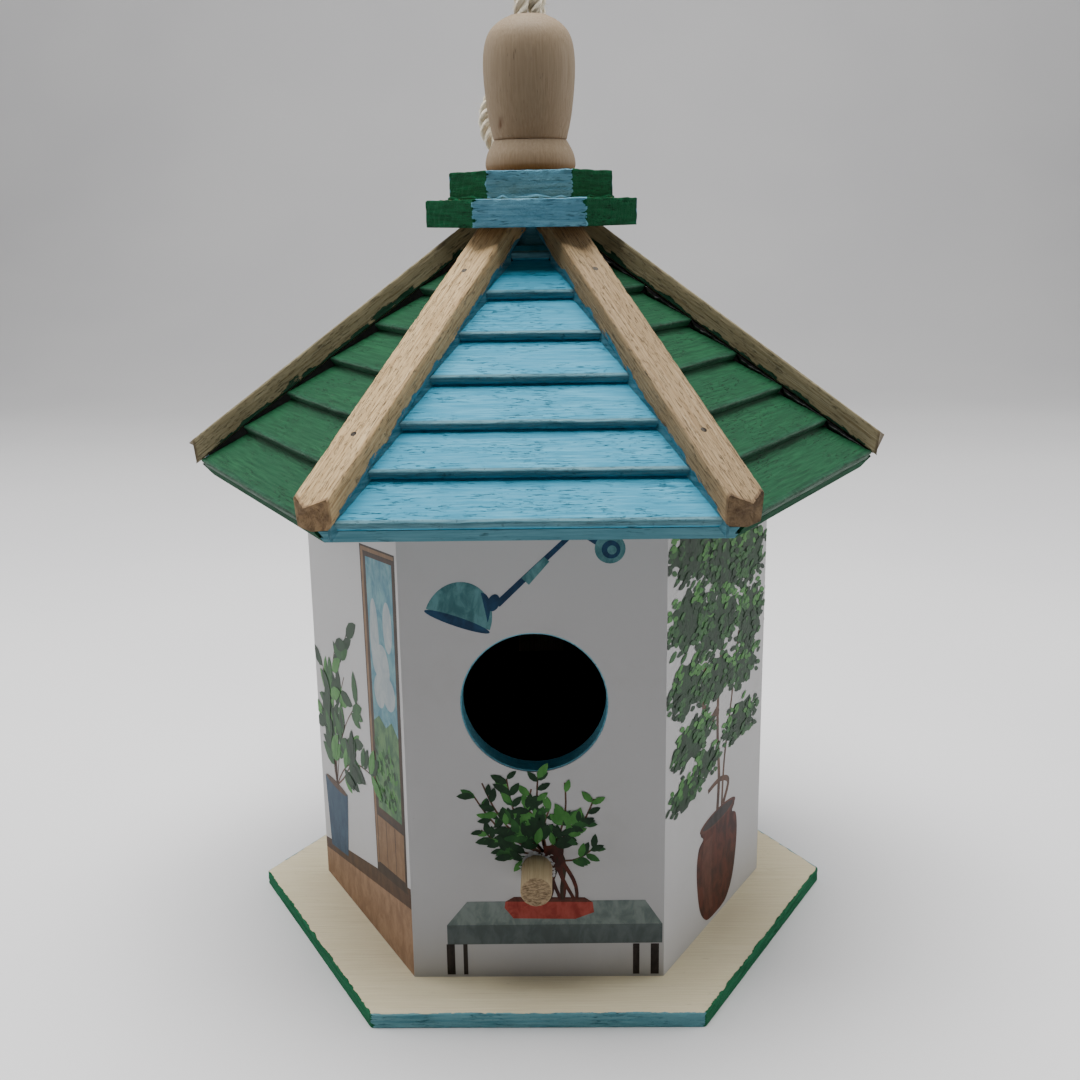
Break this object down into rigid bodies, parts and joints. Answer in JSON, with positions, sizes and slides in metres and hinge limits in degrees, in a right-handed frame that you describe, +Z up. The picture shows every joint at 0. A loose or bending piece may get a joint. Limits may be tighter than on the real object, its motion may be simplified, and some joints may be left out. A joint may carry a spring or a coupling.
{
  "type": "birdhouse",
  "caption": "Hexagonal wooden birdhouse with papered walls, a lapped slat roof, hip battens, a stepped cap, a turned finial and a cotton hanging loop.",
  "frame": {"origin": "centre of the base plate's underside", "axes": "+Z up, -Y towards the side with the entry hole, +X to the right of someone facing that side"},
  "size_m": [0.1732, 0.15, 0.2409],
  "materials": {
    "bare_wood": "matte",
    "turned_wood": "satin",
    "blue_paint": "satin",
    "green_paint": "satin",
    "printed_paper": "matte",
    "cotton_cord": "matte",
    "plated_steel": "satin"
  },
  "bodies": {
    "house": {"apex_block": "bare_wood", "base_pins": "plated_steel", "base_plate": "bare_wood", "batten_pins": "plated_steel", "cap_lower": "blue_paint", "cap_upper": "blue_paint", "cord_knot": "cotton_cord", "cord_shank": "cotton_cord", "cover_screw": "plated_steel", "eave_strip_back": "green_paint", "eave_strip_back_left": "blue_paint", "eave_strip_back_right": "blue_paint", "eave_strip_front": "blue_paint", "eave_strip_front_left": "green_paint", "eave_strip_front_right": "green_paint", "finial": "turned_wood", "hanging_cord": "cotton_cord", "hip_batten_back_left": "bare_wood", "hip_batten_back_right": "bare_wood", "hip_batten_front_left": "bare_wood", "hip_batten_front_right": "bare_wood", "hip_batten_left": "bare_wood", "hip_batten_right": "bare_wood", "perch": "turned_wood", "pivot_block": "bare_wood", "roof_backing_back": "green_paint", "roof_backing_back_left": "blue_paint", "roof_backing_back_right": "blue_paint", "roof_backing_front": "blue_paint", "roof_backing_front_left": "green_paint", "roof_backing_front_right": "green_paint", "roof_slats_back": "green_paint", "roof_slats_back_left": "blue_paint", "roof_slats_back_right": "blue_paint", "roof_slats_front": "blue_paint", "roof_slats_front_left": "green_paint", "roof_slats_front_right": "green_paint", "wall_back": "bare_wood", "wall_back_left": "bare_wood", "wall_back_right": "bare_wood", "wall_front": "bare_wood", "wall_front_left": "bare_wood", "wall_front_right": "bare_wood", "wall_paper_back": "printed_paper", "wall_paper_back_left": "printed_paper", "wall_paper_back_right": "printed_paper", "wall_paper_front": "printed_paper", "wall_paper_front_left": "printed_paper", "wall_paper_front_right": "printed_paper"},
    "cover": {"cleanout_cover": "green_paint"}
  },
  "joints": [
    {"name": "cover_swivel", "type": "hinge", "parent": "house", "child": "cover", "pos_m": [0, 0.0519, 0.0595], "axis": [0, 1, 0], "continuous": true}
  ]
}
